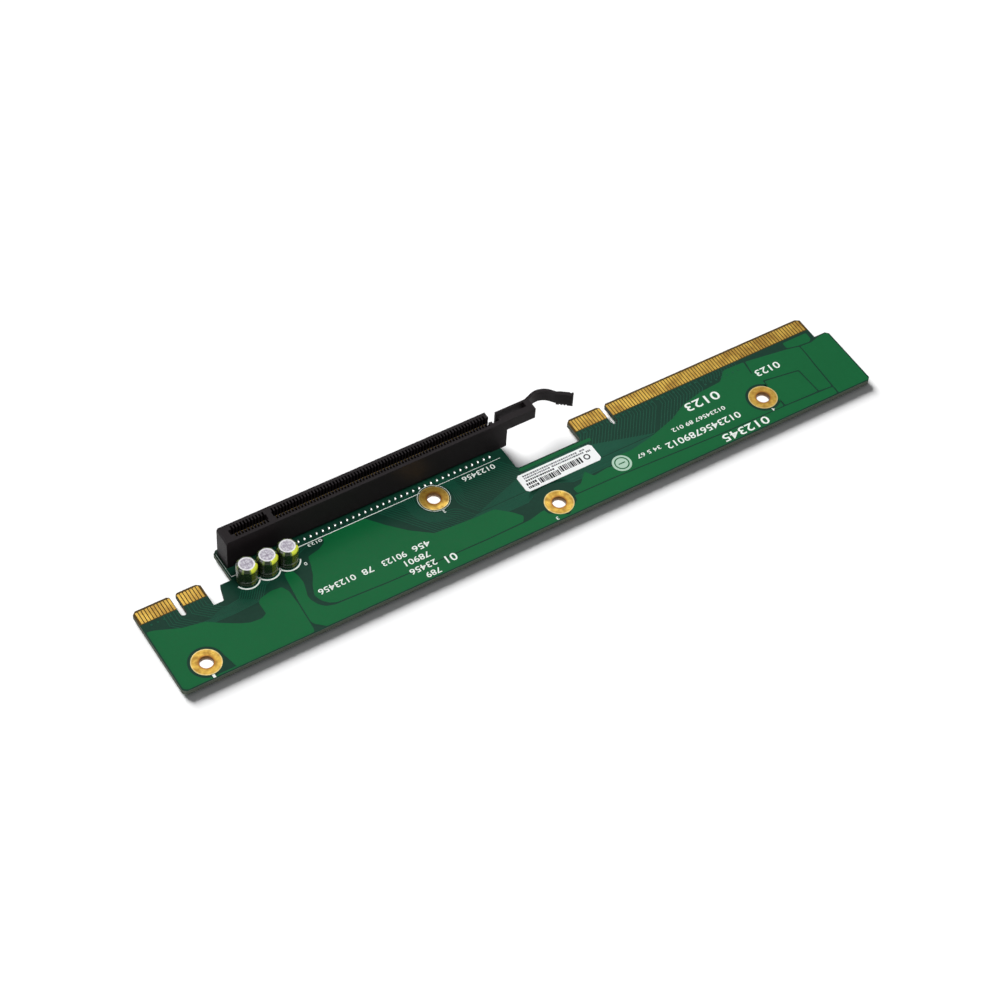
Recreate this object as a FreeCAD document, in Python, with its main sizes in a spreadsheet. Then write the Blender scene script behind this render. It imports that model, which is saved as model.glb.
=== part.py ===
import FreeCAD, Part
import math
import os
import re
import Sketcher

# Riser card: a long circuit board with a 1-lane and a 16-lane edge connector on its rear side,
# a 16-lane card slot with a fish-tail retention latch, three small capacitors, four mounting
# holes with gold-plated rings, and a label.
# Every sub-part is drawn in the board's own frame: X runs from the board's left end along its
# length, Y from its front edge towards the edge connectors, and Z up from its top face.
# Each sub-part is then placed so that the origin is the middle of the board's outline, at the
# height on which the card lies when it rests on the slot's location posts.

doc = FreeCAD.newDocument("RiserCard")

sizes = {
    # board outline
    "board_length": 233.7,
    "board_depth": 39.4,            # front edge to the rear edge behind the slot
    "board_thickness": 1.57,
    "edge_reach": 31.54,            # front edge to the tips of the edge connectors
    "notch_floor": 22.9,            # front edge to the bottom of the wide notch
    "end_shoulder": 22.6,           # front edge to the rear edge of the right end
    "relief_floor": 22.45,          # front edge to the bottom of the notch beside the short edge
    "relief_width": 3.3,
    "relief_slant": 1.5,
    "ledge_x": 29.6,                # left side of the slot's part of the board
    "ledge_y": 27.8,
    "corner_cut": 1.0,
    "notch_margin": 1.3,            # board left beyond the housing's right end
    "notch_radius": 1.0,
    # edge connectors
    "long_edge_start": 143.65,
    "lead_segment": 11.65,          # from the connector's end to its key notch
    "key_width": 1.9,
    "key_depth": 8.25,
    "key_mouth": 0.7,               # lead-in chamfer each side of the key notch
    "short_segment": 7.65,          # from the key notch to the end, 1 lane
    "long_segment": 71.65,          # the same, 16 lanes
    "edge_corner": 1.2,
    "bevel_length": 0.9,
    "bevel_depth": 0.33,
    "contact_pitch": 1.0,
    "end_margin": 1.1,              # connector's end to the middle of its last contact
    "key_margin": 0.55,             # key notch to the middle of the next contact
    "finger_width": 0.7,
    "finger_root": 26.4,            # front edge to the inner end of the gold contacts
    "finger_thickness": 0.04,
    # mounting holes
    "hole_diameter": 4.2,
    "ring_diameter": 8.9,
    "ring_thickness": 0.05,
    "hole_row": 6.08,               # holes A and C lie on one line along the board
    "hole_a_x": 10.15,
    "hole_b_x": 94.44,
    "ring_clearance": 2.25,         # ring B's edge to the slot housing's front
    "hole_c_x": 125.28,
    "hole_d_x": 200.66,
    "hole_d_y": 10.12,
    # slot housing
    "slot_x": 30.6,
    "slot_inset": 4.45,             # board's rear edge to the plane in which the card stands
    "housing_width": 6.1,
    "housing_height": 11.25,
    "card_gap": 1.8,
    "slot_floor": 2.6,
    "slot_clearance": 0.25,         # at each end of the card's edge
    "end_wall": 1.25,               # between the card slot's right end and the housing's
    "key_clearance": 0.12,          # each side of the key rib
    "pin_offset": 3.9,              # housing's left end to the middle of its first contact
    "cavity_width": 0.6,
    "cavity_reach": 2.1,            # slot line to the back of the contact cavities
    "foot_length": 2.2,
    "foot_relief": 1.1,             # height of the step under the side walls
    "relief_depth": 0.8,
    "end_bevel": 0.8,
    "post_diameter": 2.0,
    "post_clearance": 0.05,
    "post_reach": 0.9,              # posts below the board
    # slot contacts
    "contact_width": 0.45,
    "contact_thickness": 0.25,
    "tip_reach": 0.7,               # slot line to the middle of the contact's tip
    "tip_height": 8.8,
    "outer_foot": 1.9,              # slot line to the feet of the contacts with outer tails
    "inner_foot": 1.4,              # slot line to the feet of the contacts with inner tails
    # fish-tail latch
    "latch_root": 1.4,              # front wall that joins the latch to the housing
    "gap_floor": 4.5,
    "block_offset": 1.4,            # housing's right end to the latch block
    "block_length": 11.3,
    "block_depth": 4.7,
    "block_height": 4.05,
    "stand_length": 3.1,            # support under the latch block
    "channel_width": 1.9,
    "channel_end": 1.9,
    "arm_thickness": 1.0,
    "arm_lead": 0.4,
    "arm_bend": 3.0,
    "arm_rise": 22.0,
    "arm_run": 2.2,
    "arm_crest": 5.0,
    "arm_fall": 52.0,
    "arm_drop": 1.6,
    "arm_heel": 1.2,
    "pad_turn": 37.0,
    "pad_length": 5.0,
    "pad_front": 0.6,
    "pad_back": 0.7,
    "pad_height": 4.6,
    "rib_depth": 0.3,
    "rib_width": 0.45,
    "rib_pitch": 0.95,
    "lip_width": 0.55,
    "lip_groove": 0.6,
    "lip_depth": 0.85,
    # capacitors
    "capacitor_x": 33.6,
    "capacitor_clearance": 2.75,    # slot housing's front to the capacitors
    "capacitor_pitch": 6.5,
    "capacitor_diameter": 6.3,
    "capacitor_height": 7.0,
    "sleeve_wall": 0.3,
    "sleeve_rise": 0.15,            # sleeve's rim above the can's top
    # label
    "label_x": 119.2,
    "label_y": 13.6,
    "label_length": 26.0,
    "label_width": 6.7,
    "label_thickness": 0.1,
    "label_corner": 0.8,
}

capacitor_count = 3
tolerance = 0.001                   # below this a difference is rounding, not size

sizes_that_follow = {
    "slot_line": "board_depth - slot_inset",
    "edge_root": "edge_reach - bevel_length",
    "hole_b_y": "slot_line - housing_width / 2 - ring_clearance - ring_diameter / 2",
    "capacitor_y": "slot_line - housing_width / 2 - capacitor_clearance - capacitor_diameter / 2",
}

sheet = doc.addObject("Spreadsheet::Sheet", "Sizes")
for row, (alias, size) in enumerate([*sizes.items(), *sizes_that_follow.items()], start=1):
    cell = "B%d" % row
    sheet.set("A%d" % row, alias)
    sheet.set(cell, str(size) if alias in sizes else "=" + size)
    sheet.setAlias(cell, alias)
doc.recompute()


# Lengths that follow from the sizes above, as expressions

short_end = "(lead_segment + key_width + short_segment)"
long_end = "(long_edge_start + lead_segment + key_width + long_segment)"
relief_end = "(%s + relief_width)" % short_end
housing_front = "(slot_line - housing_width / 2)"
housing_back = "(slot_line + housing_width / 2)"
card_start = "(slot_x + pin_offset - end_margin)"
card_key = "(%s + lead_segment)" % card_start
card_end = "(%s + key_width + long_segment)" % card_key
slot_end = "(%s + slot_clearance)" % card_end
housing_end = "(%s + end_wall)" % slot_end
block_start = "(%s + block_offset)" % housing_end
block_end = "(%s + block_length)" % block_start
block_back = "(%s + block_depth)" % housing_front
block_bottom = "(housing_height - block_height)"
key_middle = "(%s + key_width / 2)" % card_key
last_contact = "(%s - end_margin)" % card_end
far_post = "(%s - contact_pitch)" % last_contact

hole_places = {
    "a": ("hole_a_x", "hole_row"),
    "b": ("hole_b_x", "hole_b_y"),
    "c": ("hole_c_x", "hole_row"),
    "d": ("hole_d_x", "hole_d_y"),
}


# Drawing helpers

def formula(text):
    """The expression with each size read from the sheet."""
    known = (*sizes, *sizes_that_follow)
    return re.sub(r"[a-z]+(?:_[a-z]+)*", lambda word: (
        "Sizes." + word.group(0) if word.group(0) in known else word.group(0)), text)


def number(text):
    """The expression's present value."""
    return float(sheet.evalExpression(formula(text)))


def origin_feature(body, role):
    return next(f for f in body.Origin.OriginFeatures if f.Role == role)


def new_body(name, x="0", y="0"):
    """A body in the board's frame, or at (x, y) in it."""
    body = doc.addObject("PartDesign::Body", name)
    body.Label = name
    body.AllowCompound = True
    body.setExpression("Placement.Base.x", formula("%s - board_length / 2" % x))
    body.setExpression("Placement.Base.y", formula("%s - board_depth / 2" % y))
    body.setExpression("Placement.Base.z", formula("post_reach + board_thickness"))
    return body


def new_sketch(body, name, role, offset="0"):
    sketch = body.newObject("Sketcher::SketchObject", name)
    sketch.AttachmentSupport = [(origin_feature(body, role), "")]
    sketch.MapMode = "FlatFace"
    sketch.setExpression("AttachmentOffset.Base.z", formula(offset))
    return sketch


def constrain(sketch, kind, *where, to=None):
    """A constraint whose value, if it has one, follows an expression."""
    if to is None:
        return sketch.addConstraint(Sketcher.Constraint(kind, *where))
    start = number(to)
    if kind == "Angle":
        start = math.radians(start)
    index = sketch.addConstraint(Sketcher.Constraint(kind, *where, start))
    unit = " * 1 deg" if kind == "Angle" else ""
    sketch.setExpression("Constraints[%d]" % index, "(%s)%s" % (formula(to), unit))
    return index


def add_polygon(sketch, corners):
    """A closed outline of straight sides, each corner placed by two expressions."""
    points = [FreeCAD.Vector(number(x), number(y), 0) for x, y in corners]
    first = sketch.GeometryCount
    count = len(points)
    for i in range(count):
        side = Part.LineSegment(points[i], points[(i + 1) % count])
        sketch.addGeometry(side, False)
    for i in range(count):
        constrain(sketch, "Coincident", first + i, 2, first + (i + 1) % count, 1)
    for i, (x, y) in enumerate(corners):
        constrain(sketch, "DistanceX", -1, 1, first + i, 1, to=x)
        constrain(sketch, "DistanceY", -1, 1, first + i, 1, to=y)


def add_rectangle(sketch, left, front, right, back):
    add_polygon(sketch, [(left, front), (right, front), (right, back), (left, back)])


def add_circle(sketch, x, y, radius):
    centre = FreeCAD.Vector(number(x), number(y), 0)
    circle = sketch.addGeometry(Part.Circle(centre, FreeCAD.Vector(0, 0, 1), number(radius)), False)
    constrain(sketch, "DistanceX", -1, 1, circle, 3, to=x)
    constrain(sketch, "DistanceY", -1, 1, circle, 3, to=y)
    constrain(sketch, "Radius", circle, to=radius)


def add_pad(body, name, sketch, length, downwards=False):
    pad = body.newObject("PartDesign::Pad", name)
    pad.Profile = sketch
    pad.Reversed = downwards
    pad.setExpression("Length", formula(length))
    doc.recompute()
    return pad


def add_pocket(body, name, sketch, length=None, along=False):
    """A cut against the sketch's normal, or along it, right through where no length is given."""
    pocket = body.newObject("PartDesign::Pocket", name)
    pocket.Profile = sketch
    pocket.Reversed = along
    if length is None:
        pocket.Type = "ThroughAll"
    else:
        pocket.setExpression("Length", formula(length))
    doc.recompute()
    return pocket


def add_row(body, name, feature, count, pitch="contact_pitch"):
    """Copies of a feature along X."""
    row = body.newObject("PartDesign::LinearPattern", name)
    row.Originals = [feature]
    row.Direction = (origin_feature(body, "X_Axis"), [""])
    row.Mode = "Spacing"
    row.setExpression("Offset", formula(pitch))
    row.setExpression("Occurrences", formula(count))
    body.Tip = row
    doc.recompute()
    return row


def add_revolution(body, name, corners):
    """A turned piece: an outline of radius and height, turned about the body's Z axis."""
    sketch = new_sketch(body, name + "Profile", "XZ_Plane")
    add_polygon(sketch, corners)
    turned = body.newObject("PartDesign::Revolution", name)
    turned.Profile = sketch
    turned.ReferenceAxis = (sketch, ["V_Axis"])
    turned.Angle = 360
    doc.recompute()
    return turned


def add_fillet(body, name, base, places, radius):
    """Rounds the upright edges that stand at the given places."""
    spots = [(number(x), number(y)) for x, y in places]
    names = []
    for index, edge in enumerate(base.Shape.Edges, start=1):
        ends = [v.Point for v in edge.Vertexes]
        if len(ends) != 2 or math.hypot(ends[0].x - ends[1].x, ends[0].y - ends[1].y) > tolerance:
            continue
        if any(math.hypot(ends[0].x - x, ends[0].y - y) < tolerance for x, y in spots):
            names.append("Edge%d" % index)
    if len(names) != len(spots):
        raise RuntimeError("%s found %d of %d edges" % (name, len(names), len(spots)))
    fillet = body.newObject("PartDesign::Fillet", name)
    fillet.Base = (base, names)
    fillet.setExpression("Radius", formula(radius))
    doc.recompute()
    return fillet


def contacts_in(segment):
    """How many contacts a segment of an edge holds."""
    gaps = "(%s - end_margin - key_margin) / contact_pitch" % segment
    return "floor(%s + %g) + 1" % (gaps, tolerance)


# Circuit board

def make_board():
    body = new_body("circuit_board")
    outline = new_sketch(body, "BoardOutline", "XY_Plane")
    add_polygon(outline, [
        ("corner_cut", "0"),
        ("board_length - corner_cut", "0"),
        ("board_length", "corner_cut"),
        ("board_length", "end_shoulder - corner_cut"),
        ("board_length - corner_cut", "end_shoulder"),
        (long_end, "end_shoulder"),
        (long_end, "edge_reach - edge_corner"),
        (long_end + " - edge_corner", "edge_reach"),
        ("long_edge_start + edge_corner", "edge_reach"),
        ("long_edge_start", "edge_reach - edge_corner"),
        ("long_edge_start", "notch_floor"),
        (housing_end + " + notch_margin", "notch_floor"),
        (housing_end + " + notch_margin", "board_depth"),
        ("ledge_x + corner_cut", "board_depth"),
        ("ledge_x", "board_depth - corner_cut"),
        ("ledge_x", "ledge_y"),
        (relief_end + " + relief_slant", "ledge_y"),
        (relief_end, "relief_floor"),
        (short_end, "relief_floor"),
        (short_end, "edge_reach - edge_corner"),
        (short_end + " - edge_corner", "edge_reach"),
        ("edge_corner", "edge_reach"),
        ("0", "edge_reach - edge_corner"),
        ("0", "corner_cut"),
    ])
    laminate = add_pad(body, "Laminate", outline, "board_thickness", downwards=True)
    add_fillet(body, "NotchCorners", laminate, [
        ("long_edge_start", "notch_floor"),
        (housing_end + " + notch_margin", "notch_floor"),
    ], "notch_radius")
    add_key_notch(body, "ShortKey", "lead_segment + key_width / 2")
    add_key_notch(body, "LongKey", "long_edge_start + lead_segment + key_width / 2")
    add_bevel(body, "ShortBevel", "0", short_end)
    add_bevel(body, "LongBevel", "long_edge_start", long_end)
    holes = new_sketch(body, "HoleCentres", "XY_Plane")
    for x, y in hole_places.values():
        add_circle(holes, x, y, "hole_diameter / 2")
    for x in (key_middle, far_post):
        add_circle(holes, x, "slot_line", "post_diameter / 2 + post_clearance")
    add_pocket(body, "Holes", holes)
    return body


def add_key_notch(body, name, middle):
    """A notch in the edge's tip with a round bottom and a flared mouth."""
    sketch = new_sketch(body, name + "Outline", "XY_Plane")
    left = "%s - key_width / 2" % middle
    right = "%s + key_width / 2" % middle
    flare = "edge_reach - key_mouth"
    turn = "edge_reach - key_depth + key_width / 2"
    points = [
        (left, turn),
        (left, flare),
        (left + " - key_mouth", "edge_reach"),
        (right + " + key_mouth", "edge_reach"),
        (right, flare),
        (right, turn),
    ]
    spots = [FreeCAD.Vector(number(x), number(y), 0) for x, y in points]
    for start, end in zip(spots[:-1], spots[1:]):
        sketch.addGeometry(Part.LineSegment(start, end), False)
    bottom = FreeCAD.Vector(number(middle), number("edge_reach - key_depth"), 0)
    sketch.addGeometry(Part.Arc(spots[0], bottom, spots[-1]), False)
    arc = len(points) - 1
    for i in range(arc - 1):
        constrain(sketch, "Coincident", i, 2, i + 1, 1)
    constrain(sketch, "Coincident", arc, 1, 0, 1)
    constrain(sketch, "Coincident", arc, 2, arc - 1, 2)
    for i, (x, y) in enumerate(points[:-1]):
        constrain(sketch, "DistanceX", -1, 1, i, 1, to=x)
        constrain(sketch, "DistanceY", -1, 1, i, 1, to=y)
    constrain(sketch, "DistanceX", -1, 1, arc - 1, 2, to=right)
    constrain(sketch, "DistanceY", -1, 1, arc - 1, 2, to=turn)
    constrain(sketch, "DistanceY", -1, 1, arc, 3, to=turn)
    add_pocket(body, name, sketch)


def add_bevel(body, name, start, end):
    """Thins the tip of an edge connector from both faces."""
    sketch = new_sketch(body, name + "Outline", "YZ_Plane", start)
    add_polygon(sketch, [("edge_root", "0"), ("edge_reach", "0"), ("edge_reach", "-bevel_depth")])
    add_polygon(sketch, [
        ("edge_root", "-board_thickness"),
        ("edge_reach", "bevel_depth - board_thickness"),
        ("edge_reach", "-board_thickness"),
    ])
    add_pocket(body, name, sketch, "%s - %s" % (end, start), along=True)


# Gold contacts of the edge connectors

def make_fingers(name, start, segment):
    """An edge connector's contacts: a row before the key notch and a row after it."""
    body = new_body(name)
    rows = [
        ("Lead", "%s + end_margin" % start, "lead_segment"),
        ("Rest", "%s + lead_segment + key_width + key_margin" % start, segment),
    ]
    for title, middle, length in rows:
        sketch = new_sketch(body, title + "Outline", "XY_Plane")
        left = "%s - finger_width / 2" % middle
        right = "%s + finger_width / 2" % middle
        add_rectangle(sketch, left, "finger_root", right, "edge_root")
        finger = add_pad(body, title + "Finger", sketch, "finger_thickness")
        add_row(body, title + "Row", finger, contacts_in(length))
    return body


# Copper rings of the mounting holes

def make_ring(letter):
    x, y = hole_places[letter]
    body = new_body("mounting_ring_" + letter, x, y)
    add_revolution(body, "Ring", [
        ("hole_diameter / 2", "0"),
        ("ring_diameter / 2", "0"),
        ("ring_diameter / 2", "ring_thickness"),
        ("hole_diameter / 2", "ring_thickness"),
    ])
    return body


# Slot housing with its fish-tail latch, moulded in one

def make_housing():
    body = new_body("slot_housing")
    base = new_sketch(body, "HousingBase", "XY_Plane")
    add_rectangle(base, "slot_x", housing_front, housing_end, housing_back)
    add_pad(body, "Housing", base, "housing_height")
    bevel = new_sketch(body, "EndBevelOutline", "XZ_Plane", "-%s" % housing_back)
    add_polygon(bevel, [
        ("slot_x", "housing_height - end_bevel"),
        ("slot_x + end_bevel / 2", "housing_height"),
        ("slot_x", "housing_height"),
    ])
    add_pocket(body, "EndBevel", bevel, "housing_width", along=True)
    relief = new_sketch(body, "FootReliefOutline", "YZ_Plane", "slot_x + foot_length")
    add_rectangle(relief, housing_front, "0", housing_front + " + relief_depth", "foot_relief")
    add_rectangle(relief, housing_back + " - relief_depth", "0", housing_back, "foot_relief")
    add_pocket(body, "FootRelief", relief, housing_end + " - slot_x - 2 * foot_length", along=True)
    add_card_slot(body)
    add_latch(body)
    posts = new_sketch(body, "PostCentres", "XY_Plane")
    for x in (key_middle, far_post):
        add_circle(posts, x, "slot_line", "post_diameter / 2")
    add_pad(body, "Posts", posts, "board_thickness + post_reach", downwards=True)
    add_cavities(body, "Lead", "slot_x + pin_offset", "lead_segment")
    add_cavities(body, "Rest", card_key + " + key_width + key_margin", "long_segment")
    return body


def add_card_slot(body):
    """The slot that takes the card's edge, in two lengths with the key rib between them."""
    mouth = new_sketch(body, "CardSlotOutline", "XY_Plane", "housing_height")
    near = "slot_line - card_gap / 2"
    far = "slot_line + card_gap / 2"
    add_rectangle(mouth, card_start + " - slot_clearance", near, card_key + " + key_clearance", far)
    add_rectangle(mouth, card_key + " + key_width - key_clearance", near, slot_end, far)
    add_pocket(body, "CardSlot", mouth, "housing_height - slot_floor")


def add_cavities(body, title, middle, segment):
    """A contact cavity each side of the slot, from the housing's top down to the slot's floor."""
    sketch = new_sketch(body, title + "CavityOutline", "XY_Plane", "housing_height")
    left = "%s - cavity_width / 2" % middle
    right = "%s + cavity_width / 2" % middle
    add_rectangle(sketch, left, "slot_line - cavity_reach", right, "slot_line - card_gap / 2")
    add_rectangle(sketch, left, "slot_line + card_gap / 2", right, "slot_line + cavity_reach")
    cavity = add_pocket(body, title + "Cavity", sketch, "housing_height - slot_floor")
    add_row(body, title + "Cavities", cavity, contacts_in(segment))


def add_latch(body):
    """The retention latch: a stand, a slotted block for the card's hook, and a springy tail."""
    stand = new_sketch(body, "StandOutline", "XY_Plane")
    add_rectangle(stand, housing_end, housing_front, housing_end + " + stand_length", block_back)
    add_pad(body, "Stand", stand, block_bottom)
    root = new_sketch(body, "RootOutline", "XY_Plane")
    add_rectangle(root, housing_end, housing_front, block_start, housing_front + " + latch_root")
    add_pad(body, "Root", root, "housing_height")
    block = new_sketch(body, "BlockOutline", "XY_Plane", block_bottom)
    channel_near = "slot_line - channel_width / 2"
    channel_far = "slot_line + channel_width / 2"
    channel_end = block_end + " - channel_end"
    add_polygon(block, [
        (block_start, housing_front),
        (block_end, housing_front),
        (block_end, block_back),
        (block_start, block_back),
        (block_start, channel_far),
        (channel_end, channel_far),
        (channel_end, channel_near),
        (block_start, channel_near),
    ])
    add_pad(body, "Block", block, "block_height")
    gap = new_sketch(body, "LatchGapOutline", "XY_Plane", "housing_height")
    add_rectangle(gap, slot_end, housing_front + " + latch_root", block_start, housing_back)
    add_pocket(body, "LatchGap", gap, "housing_height - gap_floor")
    add_tail(body)


def add_tail(body):
    """The tail: a flat spring swept along a wave, with a finger pad at its end."""
    start = (block_end + " - channel_end", block_back + " - arm_thickness / 2")
    path = new_sketch(body, "TailPath", "XY_Plane", block_bottom)
    steps = [
        ("line", "arm_lead", "0"),
        ("arc", "arm_bend", "arm_rise"),
        ("line", "arm_run", "arm_rise"),
        ("arc", "arm_crest", "-arm_fall"),
        ("line", "arm_drop", "-arm_fall"),
        ("arc", "arm_heel", "-pad_turn"),
        ("line", "pad_length", "-pad_turn"),
    ]
    place = FreeCAD.Vector(number(start[0]), number(start[1]), 0)
    heading = 0.0
    for kind, size, turned in steps:
        after = number(turned)
        place = draw_step(sketch=path, kind=kind, size=number(size), place=place,
                          heading=heading, after=after)
        heading = after
    constrain(path, "DistanceX", -1, 1, 0, 1, to=start[0])
    constrain(path, "DistanceY", -1, 1, 0, 1, to=start[1])
    for index, (kind, size, turned) in enumerate(steps):
        if kind == "line":
            constrain(path, "Distance", index, to=size)
            if index == 0:
                constrain(path, "Horizontal", index)
            else:
                constrain(path, "Angle", index, to=turned)
        else:
            constrain(path, "Radius", index, to=size)
    link_tangents(path, steps)
    section = new_sketch(body, "TailSection", "YZ_Plane", start[0])
    add_rectangle(section, block_back + " - arm_thickness", block_bottom, block_back, "housing_height")
    tail = body.newObject("PartDesign::AdditivePipe", "Tail")
    tail.Profile = section
    tail.Spine = path
    doc.recompute()
    add_finger_pad(body, place)


def draw_step(sketch, kind, size, place, heading, after):
    """Draws one line or arc of the path and gives its end."""
    forward = FreeCAD.Rotation(heading, 0, 0).multVec(FreeCAD.Vector(1, 0, 0))
    if kind == "line":
        end = place + forward * size
        sketch.addGeometry(Part.LineSegment(place, end), False)
        return end
    side = 1 if after > heading else -1
    towards = FreeCAD.Rotation(heading + 90 * side, 0, 0).multVec(FreeCAD.Vector(size, 0, 0))
    centre = place + towards
    half = FreeCAD.Rotation((after - heading) / 2, 0, 0).multVec(-towards)
    whole = FreeCAD.Rotation(after - heading, 0, 0).multVec(-towards)
    sketch.addGeometry(Part.Arc(place, centre + half, centre + whole), False)
    return centre + whole


def link_tangents(path, steps):
    """Joins each step of the path to the next one smoothly, whichever way its arc was stored."""
    for index in range(len(steps) - 1):
        pair = nearest_ends(path, index, index + 1)
        constrain(path, "Tangent", index, pair[0], index + 1, pair[1])


def nearest_ends(path, first, second):
    return min(((a, b) for a in (1, 2) for b in (1, 2)), key=lambda ends: (
        path.getPoint(first, ends[0]) - path.getPoint(second, ends[1])).Length)


def add_finger_pad(body, tip):
    """The pad at the tail's end, taller and thicker than the tail, ribbed for the finger."""
    reach = number("pad_length")
    turn = FreeCAD.Rotation(-number("pad_turn"), 0, 0)
    root = tip - turn.multVec(FreeCAD.Vector(reach, 0, 0))
    front = -number("pad_front")
    back = number("pad_back")
    lip = reach - number("lip_width")
    groove = lip - number("lip_groove")
    outline = [(0, front)]
    along = number("rib_pitch")
    while along + number("rib_width") < groove:
        outline.append((along, front))
        outline.append((along, front + number("rib_depth")))
        outline.append((along + number("rib_width"), front + number("rib_depth")))
        outline.append((along + number("rib_width"), front))
        along += number("rib_pitch")
    outline += [
        (reach, front),
        (reach, back),
        (lip, back),
        (lip, back - number("lip_depth")),
        (groove, back - number("lip_depth")),
        (groove, back),
        (number("rib_pitch"), back),
        (0, number("arm_thickness") / 2),
    ]
    places = [root + turn.multVec(FreeCAD.Vector(x, y, 0)) for x, y in outline]
    sketch = new_sketch(body, "FingerPadOutline", "XY_Plane", "housing_height - pad_height")
    add_polygon(sketch, [("%.6f" % p.x, "%.6f" % p.y) for p in places])
    add_pad(body, "FingerPad", sketch, "pad_height")


# Slot contacts

def make_contacts(name, side, outer):
    """One row of contacts: every second one of a wall's blades, leaning in from its foot."""
    body = new_body(name)
    foot = "outer_foot" if outer else "inner_foot"
    corners = [
        (foot + " + contact_thickness / 2", "slot_floor"),
        ("tip_reach + contact_thickness / 2", "tip_height"),
        ("tip_reach - contact_thickness / 2", "tip_height"),
        (foot + " - contact_thickness / 2", "slot_floor"),
    ]
    profile = [("slot_line %s (%s)" % (side, reach), height) for reach, height in corners]
    rows = [
        ("Lead", "slot_x + pin_offset", "lead_segment", 0 if outer else 1),
        ("Rest", card_key + " + key_width + key_margin", "long_segment", 1 if outer else 0),
    ]
    for title, first, segment, skipped in rows:
        start = "%s + %d * contact_pitch - contact_width / 2" % (first, skipped)
        sketch = new_sketch(body, title + "Profile", "YZ_Plane", start)
        add_polygon(sketch, profile)
        contact = add_pad(body, title + "Contact", sketch, "contact_width")
        every_second = "floor((%s + %d) / 2)" % (contacts_in(segment), 1 - skipped)
        add_row(body, title + "Row", contact, every_second, "2 * contact_pitch")
    return body


# Capacitors

def make_capacitor(index):
    """A small radial electrolytic capacitor: a sealed can in a shrunk sleeve."""
    place = ("capacitor_x + %d * capacitor_pitch" % index, "capacitor_y")
    can_radius = "(capacitor_diameter / 2 - sleeve_wall)"
    title = "capacitor_%d" % (index + 1)
    can = new_body(title + "_can", *place)
    add_revolution(can, "Can", [
        ("0", "0"),
        (can_radius, "0"),
        (can_radius, "capacitor_height - sleeve_rise"),
        ("0", "capacitor_height - sleeve_rise"),
    ])
    sleeve = new_body(title + "_sleeve", *place)
    add_revolution(sleeve, "Sleeve", [
        (can_radius, "0"),
        ("capacitor_diameter / 2", "0"),
        ("capacitor_diameter / 2", "capacitor_height"),
        (can_radius, "capacitor_height"),
    ])
    return [can, sleeve]


# Label

def make_label():
    body = new_body("label")
    sketch = new_sketch(body, "LabelOutline", "XY_Plane")
    right = "label_x + label_length"
    back = "label_y + label_width"
    add_polygon(sketch, [
        ("label_x + label_corner", "label_y"),
        (right + " - label_corner", "label_y"),
        (right, "label_y + label_corner"),
        (right, back + " - label_corner"),
        (right + " - label_corner", back),
        ("label_x + label_corner", back),
        ("label_x", back + " - label_corner"),
        ("label_x", "label_y + label_corner"),
    ])
    add_pad(body, "Paper", sketch, "label_thickness")
    return body


# The whole card

pieces = [make_board()]
for letter in hole_places:
    pieces.append(make_ring(letter))
pieces.append(make_fingers("short_edge_contacts", "0", "short_segment"))
pieces.append(make_fingers("long_edge_contacts", "long_edge_start", "long_segment"))
pieces.append(make_housing())
pieces.append(make_contacts("slot_contacts_front_outer", "-", True))
pieces.append(make_contacts("slot_contacts_front_inner", "-", False))
pieces.append(make_contacts("slot_contacts_back_outer", "+", True))
pieces.append(make_contacts("slot_contacts_back_inner", "+", False))
for index in range(capacitor_count):
    pieces += make_capacitor(index)
pieces.append(make_label())
doc.recompute()


# Checks, then the files

for item in doc.Objects:
    if "Invalid" in item.State or "Error" in item.State:
        raise RuntimeError("%s failed: %s" % (item.Label, item.getStatusString()))
    if item.TypeId == "PartDesign::Pocket" and item.Shape.Volume >= item.BaseFeature.Shape.Volume:
        raise RuntimeError("%s cuts nothing" % item.Label)
for piece in pieces:
    if piece.Shape.isNull() or not piece.Shape.isValid():
        raise RuntimeError("%s has no valid shape" % piece.Label)

os.makedirs("parts", exist_ok=True)
for piece in pieces:
    piece.Shape.exportStep("parts/%s.step" % piece.Label)
print("%d sub-parts written" % len(pieces))
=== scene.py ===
import math
import random

import bmesh
import bpy
from mathutils import Matrix, Vector


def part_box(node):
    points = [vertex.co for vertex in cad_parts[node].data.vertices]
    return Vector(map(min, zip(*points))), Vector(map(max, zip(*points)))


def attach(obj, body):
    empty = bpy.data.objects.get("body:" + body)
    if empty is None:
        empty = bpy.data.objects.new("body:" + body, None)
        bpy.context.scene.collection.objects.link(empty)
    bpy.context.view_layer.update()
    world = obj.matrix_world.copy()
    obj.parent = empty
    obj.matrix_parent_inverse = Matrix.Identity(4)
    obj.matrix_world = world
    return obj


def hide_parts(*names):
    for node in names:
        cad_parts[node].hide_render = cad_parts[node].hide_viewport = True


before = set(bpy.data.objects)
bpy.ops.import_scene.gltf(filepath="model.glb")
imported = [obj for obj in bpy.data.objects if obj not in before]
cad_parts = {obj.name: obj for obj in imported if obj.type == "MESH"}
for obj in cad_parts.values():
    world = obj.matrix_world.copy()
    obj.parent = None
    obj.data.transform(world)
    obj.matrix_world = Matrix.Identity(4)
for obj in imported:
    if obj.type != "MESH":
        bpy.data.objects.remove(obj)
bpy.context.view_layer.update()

# Everything is drawn in the board's own frame in millimetres, as the CAD source has it: X from the
# board's left end, Y from its front edge, Z up from its top face. toRow takes that to the row frame.
mm = 0.001
boardLow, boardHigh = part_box("circuit_board")
toRow = Matrix.Translation((boardLow.x, boardLow.y, boardHigh.z)) @ Matrix.Scale(mm, 4)
toBoard = toRow.inverted()
boardLength, _, boardThickness = (boardHigh - boardLow) / mm
underside = -boardThickness


# A CAD node's lowest and highest corners in the board's frame
def boardBox(node):
    low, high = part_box(node)
    return toBoard @ low, toBoard @ high


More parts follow.
